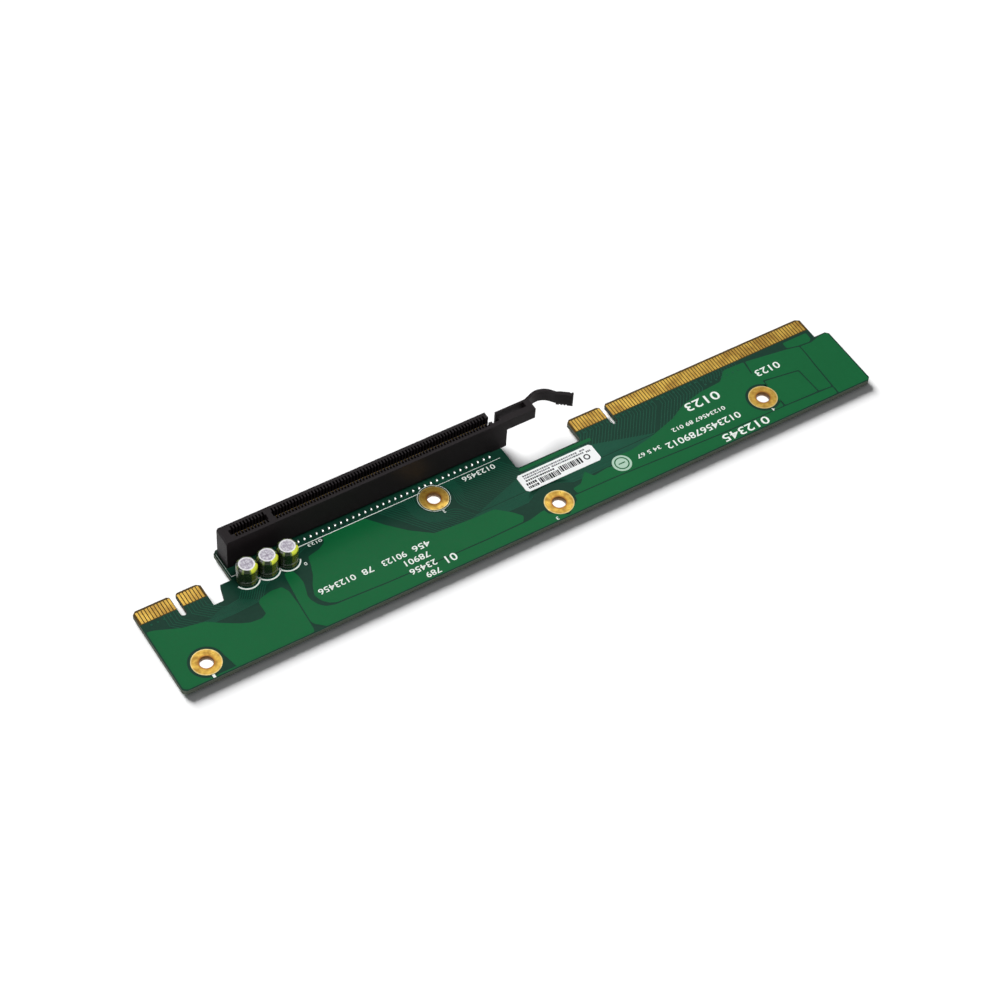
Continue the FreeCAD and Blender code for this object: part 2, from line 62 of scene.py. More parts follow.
def middle(node):
    low, high = boardBox(node)
    return (low + high) / 2


slotLow, slotHigh = boardBox("slot_housing")
labelLow, labelHigh = boardBox("label")
holes = {letter: middle("mounting_ring_" + letter) for letter in "abcd"}
holeSizes = {"bore": 2.1, "ring": 4.45, "wall": 0.06, "landThickness": 0.05}
capacitors = [middle("capacitor_%d_can" % number) for number in (1, 2, 3)]


# Materials

def newMaterial(name):
    material = bpy.data.materials.new(name)
    material.use_nodes = True
    return material, material.node_tree, material.node_tree.nodes["Principled BSDF"]


# Joins sockets, or sets constants, on a node's inputs
def feed(tree, node, values):
    for name, value in values.items():
        if isinstance(value, bpy.types.NodeSocket):
            tree.links.new(value, node.inputs[name])
        else:
            node.inputs[name].default_value = value


def addNode(tree, kind, values=None, **settings):
    node = tree.nodes.new(kind)
    for name, setting in settings.items():
        setattr(node, name, setting)
    feed(tree, node, values or {})
    return node


def mathNode(tree, operation, *values):
    return addNode(tree, "ShaderNodeMath", dict(enumerate(values)), operation=operation).outputs[0]


def vectorNode(tree, operation, *values):
    return addNode(tree, "ShaderNodeVectorMath", dict(enumerate(values)), operation=operation).outputs


def splitAxes(tree, vector):
    return addNode(tree, "ShaderNodeSeparateXYZ", {0: vector}).outputs


def mixColour(tree, factor, low, high):
    return addNode(tree, "ShaderNodeMix", {0: factor, 6: low, 7: high}, data_type="RGBA").outputs[2]


# An sRGB colour, 0 to 255, as linear values with alpha
def colour(red, green, blue):
    linear = []
    for value in (red, green, blue):
        value /= 255
        linear.append(value / 12.92 if value <= 0.04045 else ((value + 0.055) / 1.055) ** 2.4)
    return (*linear, 1.0)


def objectPlace(tree):
    return addNode(tree, "ShaderNodeTexCoord").outputs["Object"]


def pointValue(tree, name):
    return addNode(tree, "ShaderNodeAttribute", attribute_name=name).outputs["Fac"]


def noise(tree, scale, detail=3.0, roughness=0.5, place=None):
    values = {"Vector": place or objectPlace(tree), "Scale": scale, "Detail": detail,
              "Roughness": roughness}
    return addNode(tree, "ShaderNodeTexNoise", values).outputs["Fac"]


def spread(tree, value, low, high, newLow, newHigh):
    values = {"Value": value, "From Min": low, "From Max": high, "To Min": newLow, "To Max": newHigh}
    return addNode(tree, "ShaderNodeMapRange", values).outputs["Result"]


# A shader group: two scales of noise that shift a colour's brightness, and a fine grain for bump
def makeMottle():
    tree = bpy.data.node_groups.new("mottle", "ShaderNodeTree")
    sockets = [("Colour", "INPUT", "Color"), ("Amount", "INPUT", "Float"), ("Coarse", "INPUT", "Float"),
               ("Fine", "INPUT", "Float"), ("Colour", "OUTPUT", "Color"), ("Grain", "OUTPUT", "Float")]
    for name, way, kind in sockets:
        tree.interface.new_socket(name, in_out=way, socket_type="NodeSocket" + kind)
    given = addNode(tree, "NodeGroupInput").outputs
    place = objectPlace(tree)
    coarse = noise(tree, given["Coarse"], 4.0, place=place)
    fine = noise(tree, given["Fine"], 4.0, place=place)
    centred = mathNode(tree, "SUBTRACT", mathNode(tree, "ADD", coarse, fine), 1.0)
    factor = mathNode(tree, "ADD", mathNode(tree, "MULTIPLY", centred, given["Amount"]), 1.0)
    shade = addNode(tree, "ShaderNodeVectorMath", {0: given["Colour"], "Scale": factor}, operation="SCALE")
    addNode(tree, "NodeGroupOutput", {"Colour": shade.outputs[0], "Grain": fine})
    return tree


mottleGroup = makeMottle()


def addMottle(tree, base, amount, coarse, fine):
    values = {"Colour": base, "Amount": amount, "Coarse": coarse, "Fine": fine}
    node = addNode(tree, "ShaderNodeGroup", values, node_tree=mottleGroup)
    return node.outputs["Colour"], node.outputs["Grain"]


def addBump(tree, shader, height, strength, distance):
    bump = addNode(tree, "ShaderNodeBump", {"Height": height, "Strength": strength, "Distance": distance})
    feed(tree, shader, {"Normal": bump.outputs["Normal"]})


# A material of one colour with mottling, uneven gloss and a fine grain
def plainMaterial(name, base, roughness, metallic=0.0, specular=0.5, amount=0.2, coarse=120.0,
                  fine=2500.0, bump=0.0, swing=0.08):
    material, tree, shader = newMaterial(name)
    shade, grain = addMottle(tree, base, amount, coarse, fine)
    gloss = spread(tree, grain, 0.3, 0.7, roughness - swing, roughness + swing)
    feed(tree, shader, {"Base Color": shade, "Roughness": gloss, "Metallic": metallic,
                        "Specular IOR Level": specular})
    if bump:
        addBump(tree, shader, grain, bump, 0.00002)
    return material


boardLook = {
    "mask": colour(12, 54, 40),
    "laminate": colour(78, 58, 18),
    # The edge colours are darkened as painted shade on the board's sides; their bands stand for the glass
    # layers
    "edge": colour(108, 112, 102),
    "edgeDark": colour(50, 62, 50),
    "rootY": 26.15,  # past this line the card edges are bare
    "gapMiddle": 82.5,  # and both lie further than halfGap from here
    "halfGap": 60.9,
    "layers": 550.0,
    "flat": 0.6,  # a face whose normal's Z is larger isn't an edge
    "edgeRoughness": 0.75,
    "faceRoughness": 0.4,
    "specular": 0.12,
}


# Solder mask on the faces, bare laminate round the gold contacts, glass layers on the edges, whose colours
# are darkened as painted shade
def makeBoardMaterial():
    material, tree, shader = newMaterial("boardMask")
    place = objectPlace(tree)
    axes = splitAxes(tree, place)
    origin = toRow.translation
    pastRoot = mathNode(tree, "GREATER_THAN", axes["Y"], origin.y + boardLook["rootY"] * mm)
    fromMiddle = mathNode(tree, "SUBTRACT", axes["X"], origin.x + boardLook["gapMiddle"] * mm)
    onConnector = mathNode(tree, "GREATER_THAN", mathNode(tree, "ABSOLUTE", fromMiddle),
                           boardLook["halfGap"] * mm)
    bare = mathNode(tree, "MULTIPLY", pastRoot, onConnector)
    mask, grain = addMottle(tree, boardLook["mask"], 0.35, 60.0, 900.0)
    laminate, _ = addMottle(tree, boardLook["laminate"], 0.4, 400.0, 3000.0)
    face = mixColour(tree, bare, mask, laminate)
    layers = addNode(tree, "ShaderNodeTexWave", {"Vector": place, "Scale": boardLook["layers"],
                                                 "Distortion": 3.0, "Detail": 3.0},
                     wave_type="BANDS", bands_direction="Z")
    edge = mixColour(tree, layers.outputs["Fac"], boardLook["edge"], boardLook["edgeDark"])
    normal = addNode(tree, "ShaderNodeNewGeometry").outputs["True Normal"]
    upright = mathNode(tree, "ABSOLUTE", splitAxes(tree, normal)["Z"])
    flat = mathNode(tree, "GREATER_THAN", upright, boardLook["flat"])
    roughness = spread(tree, flat, 0.0, 1.0, boardLook["edgeRoughness"], boardLook["faceRoughness"])
    feed(tree, shader, {"Base Color": mixColour(tree, flat, edge, face), "Roughness": roughness,
                        "Specular IOR Level": boardLook["specular"]})
    addBump(tree, shader, grain, 0.25, 0.00002)
    return material


# The pale rim colours below are painted highlights: the glints round the rim, and the stripe's colour where
# it runs over the rim
sleeveLook = {
    "dark": colour(26, 42, 18),
    "rimGlint": colour(112, 130, 70),
    "stripe": colour(84, 96, 20),
    "stripeRimHighlight": colour(220, 228, 60),
    "from": -92.0,  # degrees round the can
    "to": -22.0,
    "dash": 2.4,
    "dashShare": 0.4,
    "dashHalf": 6.0,
    "rimGlintStep": 44.0,
    "rimGlintStart": 0.72,
    "shoulder": 5.75,
    "blend": 0.2,
}


# Printed shrink sleeve: dark green, with a printed stripe. The rim carries a painted highlight: the stripe
# is painted much brighter there, and pale painted glints lie round the rest of the rim
def makeSleeveMaterial():
    material, tree, shader = newMaterial("capacitorSleeve")
    turn = pointValue(tree, "turn")
    rise = pointValue(tree, "rise")
    inside = mathNode(tree, "MULTIPLY", mathNode(tree, "GREATER_THAN", turn, sleeveLook["from"]),
                      mathNode(tree, "LESS_THAN", turn, sleeveLook["to"]))
    fromMiddle = mathNode(tree, "SUBTRACT", turn, (sleeveLook["from"] + sleeveLook["to"]) / 2)
    near = mathNode(tree, "LESS_THAN", mathNode(tree, "ABSOLUTE", fromMiddle), sleeveLook["dashHalf"])
    dashPhase = mathNode(tree, "FRACT", mathNode(tree, "DIVIDE", rise, sleeveLook["dash"]))
    dash = mathNode(tree, "MULTIPLY", near,
                    mathNode(tree, "LESS_THAN", dashPhase, sleeveLook["dashShare"]))
    onRim = spread(tree, rise, sleeveLook["shoulder"] - sleeveLook["blend"],
                   sleeveLook["shoulder"] + sleeveLook["blend"], 0.0, 1.0)
    # Pale painted glints, a painted highlight, spaced round the rim outside the stripe
    rimGlintPhase = mathNode(tree, "FRACT", mathNode(tree, "DIVIDE", turn, sleeveLook["rimGlintStep"]))
    rimGlints = mathNode(tree, "MULTIPLY", onRim,
                      mathNode(tree, "GREATER_THAN", rimGlintPhase, sleeveLook["rimGlintStart"]))
    dark, grain = addMottle(tree, sleeveLook["dark"], 0.3, 300.0, 2500.0)
    plain = mixColour(tree, rimGlints, dark, sleeveLook["rimGlint"])
    # The stripe, painted much brighter on the rim as a painted highlight
    pale = mixColour(tree, onRim, sleeveLook["stripe"], sleeveLook["stripeRimHighlight"])
    printed = mixColour(tree, dash, pale, sleeveLook["dark"])
    feed(tree, shader, {"Base Color": mixColour(tree, inside, plain, printed),
                        "Roughness": spread(tree, grain, 0.3, 0.7, 0.22, 0.34), "Coat Weight": 0.3})
    addBump(tree, shader, grain, 0.1, 0.00001)
    return material


goldLook = {"bright": colour(206, 168, 72), "deep": colour(164, 124, 48), "metallic": 0.7}


def goldTone(tree, patches):
    return mixColour(tree, spread(tree, patches, 0.35, 0.65, 0.0, 1.0), goldLook["bright"],
                     goldLook["deep"])


# Gold flash with fine brushing along the contacts and deeper blotches
def makeGoldMaterial():
    material, tree, shader = newMaterial("gold")
    stretch = addNode(tree, "ShaderNodeMapping", {"Vector": objectPlace(tree), "Scale": (6.0, 1.0, 1.0)})
    streaks = noise(tree, 900.0, 4.0, 0.6, stretch.outputs["Vector"])
    feed(tree, shader, {"Base Color": goldTone(tree, noise(tree, 260.0)), "Metallic": goldLook["metallic"],
                        "Roughness": spread(tree, streaks, 0.3, 0.7, 0.28, 0.46)})
    addBump(tree, shader, streaks, 0.2, 0.00001)
    return material


# The bright colour stays on the rim and side as a painted highlight, and the score colour is painted shade
# in the cross's grooves
canLook = {
    "bright": colour(228, 227, 230),
    "dimmed": colour(158, 150, 166),
    "score": colour(138, 132, 144),
    "reach": 1.75,
    "half": 0.07,
    "rim": 1.95,
    "metallic": 0.35,
}


# Aluminium that keeps its bright colour on the rim and side as a painted highlight, with a duller mottled
# middle and the cross scored into its top as a vent, painted darker as painted shade in its grooves
def makeCanMaterial():
    material, tree, shader = newMaterial("canMetal")
    across = [pointValue(tree, name) for name in ("acrossX", "acrossY")]
    squares = [mathNode(tree, "MULTIPLY", value, value) for value in across]
    reach = mathNode(tree, "SQRT", mathNode(tree, "ADD", *squares))
    lines = [mathNode(tree, "LESS_THAN", mathNode(tree, "ABSOLUTE", value), canLook["half"])
             for value in across]
    cross = mathNode(tree, "MULTIPLY", mathNode(tree, "MAXIMUM", *lines),
                     mathNode(tree, "LESS_THAN", reach, canLook["reach"]))
    patches = spread(tree, noise(tree, 1400.0, 4.0, 0.6), 0.42, 0.6, 0.0, 1.0)
    # Only the middle is dulled: the rim and side keep the bright colour, a painted highlight
    inside = mathNode(tree, "LESS_THAN", reach, canLook["rim"])
    dimmed = mathNode(tree, "MULTIPLY", spread(tree, patches, 0.0, 1.0, 0.45, 1.0), inside)
    base = mixColour(tree, dimmed, canLook["bright"], canLook["dimmed"])
    # The scored cross is painted darker, painted shade in its grooves
    feed(tree, shader, {"Base Color": mixColour(tree, cross, base, canLook["score"]),
                        "Roughness": spread(tree, patches, 0.0, 1.0, 0.36, 0.5),
                        "Metallic": canLook["metallic"]})
    addBump(tree, shader, mathNode(tree, "MULTIPLY", cross, -1.0), 0.6, 0.00008)
    return material


# The darker colour is painted shade at the bore, and the pale one a painted highlight on the outer rim
ringLook = {
    "dimmed": colour(150, 92, 28),
    "pale": colour(228, 216, 160),
    "boreShadeWidth": 0.7,
    "rim": 4.05,
    "edge": 4.4,
    "rimShare": 0.6,
}


# Gold ring of one mounting hole: a darker band at the bore, painted shade, and a pale outer rim, a painted
# highlight
def makeRingMaterial(letter):
    material, tree, shader = newMaterial("ring" + letter.upper())
    centre = toRow @ Vector((holes[letter].x, holes[letter].y, 0))
    offset = vectorNode(tree, "SUBTRACT", objectPlace(tree), centre)[0]
    flat = vectorNode(tree, "MULTIPLY", offset, (1 / mm, 1 / mm, 0))[0]
    reach = vectorNode(tree, "LENGTH", flat)["Value"]
    patches = noise(tree, 700.0, 4.0, 0.6)
    # Painted shade darkens the band at the bore, and a painted highlight pales the outer rim
    dimmed = spread(tree, reach, holeSizes["bore"], holeSizes["bore"] + ringLook["boreShadeWidth"], 1.0, 0.0)
    rim = spread(tree, reach, ringLook["rim"], ringLook["edge"], 0.0, ringLook["rimShare"])
    base = mixColour(tree, dimmed, goldTone(tree, patches), ringLook["dimmed"])
    feed(tree, shader, {"Base Color": mixColour(tree, rim, base, ringLook["pale"]),
                        "Metallic": goldLook["metallic"],
                        "Roughness": spread(tree, patches, 0.3, 0.7, 0.26, 0.44)})
    addBump(tree, shader, patches, 0.3, 0.00002)
    return material


plainLooks = {
    "copperPour": {"base": colour(8, 94, 50), "roughness": 0.42, "specular": 0.12, "amount": 0.16,
                   "coarse": 45.0, "fine": 1100.0, "bump": 0.2},
    "trace": {"base": colour(20, 78, 58), "roughness": 0.42, "specular": 0.12, "amount": 0.25, "bump": 0.1},
    # Slot contacts: gold painted darker, as painted shade deep in the slot
    "contactSpring": {"base": colour(120, 100, 58), "roughness": 0.4, "metallic": 0.6, "coarse": 500.0,
                      "fine": 4000.0, "bump": 0.2},
    "solder": {"base": colour(214, 214, 210), "roughness": 0.3, "metallic": 0.7, "amount": 0.15,
               "coarse": 700.0, "fine": 4000.0, "bump": 0.3},
    # Walls of the mounting holes: plated metal painted dark brown, as painted shade inside the holes
    "holeWall": {"base": colour(120, 84, 40), "roughness": 0.4, "metallic": 0.5, "coarse": 700.0,
                 "bump": 0.2},
    "printedWhite": {"base": colour(236, 242, 236), "roughness": 0.7, "specular": 0.2, "amount": 0.12,
                     "coarse": 500.0, "fine": 6000.0, "bump": 0.2},
    "mouldedPlastic": {"base": colour(27, 22, 24), "roughness": 0.55, "specular": 0.16, "amount": 0.25,
                       "coarse": 90.0, "fine": 3500.0, "bump": 0.3},
    "labelPaper": {"base": colour(246, 248, 247), "roughness": 0.6, "specular": 0.25, "amount": 0.06,
                   "coarse": 200.0, "fine": 5000.0, "bump": 0.15},
    "paleSticker": {"base": colour(176, 206, 186), "roughness": 0.6, "specular": 0.2, "amount": 0.1,
                    "coarse": 300.0, "fine": 5000.0, "bump": 0.15},
    "ink": {"base": colour(24, 26, 30), "roughness": 0.6, "specular": 0.2, "amount": 0.3,
            "coarse": 900.0, "fine": 6000.0},
    "faintInk": {"base": colour(96, 98, 104), "roughness": 0.6, "specular": 0.2, "amount": 0.3,
                 "coarse": 900.0, "fine": 6000.0},
}
looks = {name: plainMaterial(name, **settings) for name, settings in plainLooks.items()}
looks["board"] = makeBoardMaterial()
looks["gold"] = makeGoldMaterial()
looks["can"] = makeCanMaterial()
looks["sleeve"] = makeSleeveMaterial()
for letter in holes:
    looks["ring" + letter] = makeRingMaterial(letter)
print("stage: materials")


# Mesh helpers

def addObject(name, data):
    thing = bpy.data.objects.new(name, data)
    bpy.context.scene.collection.objects.link(thing)
    return thing


# Links a finished mesh, drawn in the board's frame, as a piece that rides on the board
def keep(name, mesh, look, place=toRow):
    mesh.transform(place)
    mesh.materials.clear()
    mesh.materials.append(looks[look])
    piece = addObject(name, mesh)
    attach(piece, "root")
    return piece


# The holder's evaluated mesh, with the holder thrown away
def evaluatedMesh(holder):
    bpy.context.view_layer.update()
    graph = bpy.context.evaluated_depsgraph_get()
    mesh = bpy.data.meshes.new_from_object(holder.evaluated_get(graph))
    bpy.data.objects.remove(holder)
    return mesh


# A mesh of the bmesh's closed shells, with their faces turned outward
def outwardMesh(whole, name):
    bmesh.ops.recalc_face_normals(whole, faces=whole.faces)
    mesh = bpy.data.meshes.new(name)
    whole.to_mesh(mesh)
    whole.free()
    return mesh


weld = 0.0005  # millimetres


# The curve's mesh, closed where its faces meet, with the curve thrown away
def meshFromCurve(curve):
    filled = evaluatedMesh(addObject("holder", curve))
    bpy.data.curves.remove(curve)
    whole = bmesh.new()
    whole.from_mesh(filled)
    bpy.data.meshes.remove(filled)
    bmesh.ops.remove_doubles(whole, verts=whole.verts, dist=weld)
    bmesh.ops.dissolve_degenerate(whole, dist=weld, edges=whole.edges)
    return outwardMesh(whole, "fromCurve")


# Flat sheet between two heights; loops inside a loop are its holes
def plateMesh(loops, low, high):
    curve = bpy.data.curves.new("plate", "CURVE")
    curve.dimensions = "2D"
    curve.fill_mode = "BOTH"
    curve.extrude = (high - low) / 2
    for loop in loops:
        spline = curve.splines.new("POLY")
        spline.points.add(len(loop) - 1)
        for point, (x, y) in zip(spline.points, loop):
            point.co = (x, y, 0, 1)
        spline.use_cyclic_u = True
    mesh = meshFromCurve(curve)
    mesh.transform(Matrix.Translation((0, 0, (low + high) / 2)))
    return mesh


def joinMeshes(name, meshes):
    whole = bmesh.new()
    for mesh in meshes:
        whole.from_mesh(mesh)
        bpy.data.meshes.remove(mesh)
    joined = bpy.data.meshes.new(name)
    whole.to_mesh(joined)
    whole.free()
    return joined


def rectangle(left, front, right, back):
    return [(left, front), (right, front), (right, back), (left, back)]


def circlePoints(x, y, radius, count=48, start=0.0, end=360.0):
    steps = count if abs(end - start - 360.0) < 1e-6 else count + 1
    angles = [math.radians(start + (end - start) * i / count) for i in range(steps)]
    return [(x + radius * math.cos(angle), y + radius * math.sin(angle)) for angle in angles]


# The outline with each corner replaced by a short curve
def rounded(points, radius, steps=5):
    result = []
    for i, corner in enumerate(points):
        here = Vector(corner)
        before = Vector(points[i - 1])
        after = Vector(points[(i + 1) % len(points)])
        reach = min(radius, (before - here).length * 0.45, (after - here).length * 0.45)
        start = here + (before - here).normalized() * reach
        end = here + (after - here).normalized() * reach
        for k in range(steps + 1):
            t = k / steps
            point = start * (1 - t) ** 2 + here * 2 * t * (1 - t) + end * t ** 2
            result.append((point.x, point.y))
    return result


# Tracks of one width along each path, with mitred corners
def ribbonMesh(paths, width, high):
    whole = bmesh.new()
    for path in paths:
        points = [Vector(p[:2]) for p in path]
        last = len(points) - 1
        rings = []
        for i, point in enumerate(points):
            ahead = (points[min(i + 1, last)] - points[max(i - 1, 0)]).normalized()
            normal = Vector((-ahead.y, ahead.x))
            stretch = 1.0
            if 0 < i < last:
                leg = (point - points[i - 1]).normalized()
                stretch = 1 / max(0.4, normal.dot(Vector((-leg.y, leg.x))))
            offset = normal * (width / 2 * stretch)
            left, right = point + offset, point - offset
            corners = ((right, 0.0), (right, high), (left, high), (left, 0.0))
            rings.append([whole.verts.new((side.x, side.y, z)) for side, z in corners])
        for first, second in zip(rings[:-1], rings[1:]):
            for k in range(4):
                whole.faces.new((first[k], first[(k + 1) % 4], second[(k + 1) % 4], second[k]))
        whole.faces.new(rings[0][::-1])
        whole.faces.new(rings[-1])
    return outwardMesh(whole, "ribbon")


# A profile of (radius, height) turned about Z: a closed one makes a ring, others end on the axis
def turnedMesh(profile, segments=64, closed=False):
    whole = bmesh.new()
    rings = []
    for radius, height in profile:
        points = circlePoints(0, 0, radius, segments) if radius > 1e-6 else [(0, 0)]
        rings.append([whole.verts.new((x, y, height)) for x, y in points])
    for first, second in zip(rings, rings[1:] + (rings[:1] if closed else [])):
        for i in range(segments):
            j = (i + 1) % segments
            if len(first) == 1:
                whole.faces.new((first[0], second[j], second[i]))
            elif len(second) == 1:
                whole.faces.new((first[i], first[j], second[0]))
            else:
                whole.faces.new((first[i], first[j], second[j], second[i]))
    mesh = outwardMesh(whole, "turned")
    mesh.shade_smooth()
    return mesh


# Keeps a number for each vertex, which a material reads
def storeValues(mesh, name, measure):
    values = mesh.attributes.new(name, "FLOAT", "POINT").data
    for vertex in mesh.vertices:
        values[vertex.index].value = measure(vertex.co)


# A geometry node tree: copies of one object in columns and rows, made one mesh with one material
def makeRowTree():
    tree = bpy.data.node_groups.new("rowOfCopies", "GeometryNodeTree")
    sockets = {"Source": "Object", "Columns": "Int", "Rows": "Int", "Start": "Vector",
               "Column Step": "Vector", "Row Step": "Vector", "Look": "Material"}
    for name, kind in sockets.items():
        tree.interface.new_socket(name, in_out="INPUT", socket_type="NodeSocket" + kind)
    tree.interface.new_socket("Geometry", in_out="OUTPUT", socket_type="NodeSocketGeometry")
    given = addNode(tree, "NodeGroupInput").outputs
    source = addNode(tree, "GeometryNodeObjectInfo", {"Object": given["Source"]})
    columns = addNode(tree, "GeometryNodeMeshLine", {
        "Count": given["Columns"], "Start Location": given["Start"], "Offset": given["Column Step"],
    }, mode="OFFSET")
    rows = addNode(tree, "GeometryNodeMeshLine", {
        "Count": given["Rows"], "Offset": given["Row Step"],
    }, mode="OFFSET")
    line = addNode(tree, "GeometryNodeInstanceOnPoints", {
        "Points": columns.outputs["Mesh"], "Instance": source.outputs["Geometry"],
    })
    grid = addNode(tree, "GeometryNodeInstanceOnPoints", {
        "Points": rows.outputs["Mesh"], "Instance": line.outputs["Instances"],
    })
    solid = addNode(tree, "GeometryNodeRealizeInstances", {"Geometry": grid.outputs["Instances"]})
    painted = addNode(tree, "GeometryNodeSetMaterial", {
        "Geometry": solid.outputs["Geometry"], "Material": given["Look"],
    })
    addNode(tree, "NodeGroupOutput", {"Geometry": painted.outputs["Geometry"]})
    return tree


rowTree = makeRowTree()


# One mesh of copies of sourceMesh in columns and rows, in the board's frame
def rowMesh(sourceMesh, start, columns, pitch, look, rows=1, rowPitch=0.0):
    source = addObject("source", sourceMesh)
    holder = addObject("holder", bpy.data.meshes.new("holder"))
    modifier = holder.modifiers.new("rows", "NODES")
    modifier.node_group = rowTree
    values = {"Source": source, "Columns": columns, "Rows": rows, "Start": start,
              "Column Step": (pitch, 0, 0), "Row Step": (0, rowPitch, 0), "Look": looks[look]}
    for item in rowTree.interface.items_tree:
        if item.in_out == "INPUT":
            modifier[item.identifier] = values[item.name]
    mesh = evaluatedMesh(holder)
    bpy.data.objects.remove(source)
    bpy.data.meshes.remove(sourceMesh)
    return mesh


# CAD nodes that keep their shape

keptNodes = {
    "board": ["circuit_board"],
    "gold": ["short_edge_contacts", "long_edge_contacts"],
    "contactSpring": ["slot_contacts_front_outer", "slot_contacts_front_inner",
                      "slot_contacts_back_outer", "slot_contacts_back_inner"],
    "mouldedPlastic": ["slot_housing"],
    "labelPaper": ["label"],
}
for letter in holes:
    keptNodes["ring" + letter] = ["mounting_ring_" + letter]
for look, names in keptNodes.items():
    for name in names:
        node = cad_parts[name]
        node.data.materials.clear()
        node.data.materials.append(looks[look])


# Copper under the solder mask

copperSizes = {"thickness": 0.03, "edge": 0.45, "ringGap": 5.35, "round": 0.5, "shoulder": 22.6,
               "nickBack": 0.4, "nick": (2.4, 6.6)}


# The bright areas of the top face: copper under the mask, with thin gaps between them
def makePours():
    e = copperSizes["edge"]
    right = boardLength - e
    end = copperSizes["shoulder"] - e
    left = [(e, e + 1), (e + 1, e), (41.0, e), (41.3, 1.6), (41.8, 11.1), (41.7, 16.4), (40.6, 18.6),
            (37.4, 18.9), (33.4, 18.0), (32.4, 16.9), (32.4, 12.6), (30.6, 11.7), (27.1, 12.0),
            (24.3, 13.3), (20.0, 15.9), (16.4, 18.5), (12.7, 19.2), (9.9, 19.7), (6.3, 21.2),
            (2.6, 22.8), (e, 23.2)]
    front = [(45.0, e), (221.4, e), (221.6, 3.2), (204.5, 3.9), (181, 4.2), (168, 4.7), (145, 5.7),
             (131.6, 5.9), (119, 5.6), (114.4, 4.6), (100, 4.4), (86, 4.6), (67, 5.1), (54.6, 5.7),
             (50.8, 5.8), (48.2, 6.6), (46.6, 8.2), (45.6, 10.4), (45.4, 12.3), (46.2, 14.8),
             (46.8, 17.0), (46.6, 20.0), (46.0, 22.4), (43.6, 22.4), (43.2, 20.6), (42.2, 11.1),
             (41.8, 4.0), (42.3, 2.9)]
    centre = [(54.8, 6.1), (67, 5.5), (86, 5.0), (100, 4.8), (112.4, 5.0), (113.6, 6.8), (111.4, 9.6),
              (107.4, 13.1), (100.5, 13.2), (92.6, 13.7), (88, 14.0), (82.2, 18.4), (77.4, 23.4),
              (73.2, 28.6), (59.6, 28.8), (58.8, 26.6), (56.4, 25.2), (52.4, 24.4), (51.6, 21.4),
              (50.4, 18.1), (48.4, 14.7), (47.2, 11.5), (48.0, 9.0), (49.6, 7.2), (51.6, 6.3)]
    bank = [(121.6, 21.3), (146.4, 21.3), (146.4, 22.4), (121.6, 22.4)]
    middleRight = [(131.8, 6.3), (145, 6.1), (168, 5.1), (181, 4.6), (204.2, 4.3), (204.4, 15.7),
                   (216.6, 13.9), (217.0, 4.0), (221.5, 3.6), (221.9, 12), (222.3, 18.7),
                   (222.3, 21.6), (218.2, 22.5), (204.2, 24.6), (203.4, 19.6), (203.0, 19.6),
                   (203.6, 24.7), (196.4, 24.9), (192.9, 21.6), (185.4, 21.1), (178.3, 19.6),
                   (171.9, 16.4), (162.3, 13.6), (154.2, 12.2), (149.7, 12.5), (146.0, 9.8),
                   (144.6, 10.1), (139.6, 9.4), (138, 12.2), (134.6, 8.8), (131.6, 8.4)]
    inner = [(204.8, 4.3), (216.6, 4.0), (216.2, 13.5), (204.8, 15.2)]
    shoulder = [(221.9, e), (right, e), (right, end), (230.2, end), (226.6, 21.2), (222.7, 21.5),
                (222.7, 18.7), (222.3, 12)]
    spine = [(218.6, 22.9), (222.4, 22.0), (226.3, 21.7), (227.4, 22.6), (227.4, 25.2), (218.6, 25.2)]
    return [left, front, centre, bank, middleRight, inner, shoulder, spine]


# The bare ring round a mounting hole; hole A's runs on to the front edge
def clearance(letter):
    hole = holes[letter]
    if letter != "a":
        return circlePoints(hole.x, hole.y, copperSizes["ringGap"])
    front = copperSizes["edge"] + copperSizes["nickBack"]
    return circlePoints(hole.x, hole.y, copperSizes["ringGap"], 36, 0.0, 285.0) + [
        (hole.x + side, front) for side in copperSizes["nick"]]


def sidesOf(outline):
    return zip(outline, outline[1:] + outline[:1])


# Clearances for the mounting holes whose middle lies inside the outline
def ringHoles(outline):
    found = []
    for letter, hole in holes.items():
        inside = False
        for (ax, ay), (bx, by) in sidesOf(outline):
            if (ay > hole.y) != (by > hole.y) and hole.x < (bx - ax) * (hole.y - ay) / (by - ay) + ax:
                inside = not inside
        if inside:
            found.append(clearance(letter))
    return found


# Pushes the outline's points out of the clearances of holes that it only brushes
def clipped(outline):
    result = []
    for x, y in outline:
        for hole in holes.values():
            away = Vector((x - hole.x, y - hole.y))
            if away.length < copperSizes["ringGap"]:
                away = away.normalized() * copperSizes["ringGap"]
                x, y = hole.x + away.x, hole.y + away.y
        result.append((x, y))
    return result


def dense(outline, step=0.8):
    result = []
    for (ax, ay), (bx, by) in sidesOf(outline):
        parts = max(1, int(math.hypot(bx - ax, by - ay) / step))
        result += [(ax + (bx - ax) * i / parts, ay + (by - ay) * i / parts) for i in range(parts)]
    return result


def pourMesh(outline, low):
    shape = rounded(outline, copperSizes["round"], 4)
    cuts = ringHoles(shape)
    if not cuts:
        shape = clipped(dense(shape))
    return plateMesh([shape] + cuts, low, low + copperSizes["thickness"])


def makeUnderPours():
    e = copperSizes["edge"]
    right = boardLength - e
    return [
        [(e, e + 1), (e + 1, e), (60, e), (60, 20.5), (28, 21.2), (23.8, 21.6), (e, 22.4)],
        [(60.6, e), (136, e), (136, 21.6), (119.4, 22.2), (60.6, 22.2)],
        [(136.6, e), (right, e), (right, 22.1), (136.6, 22.1)],
    ]


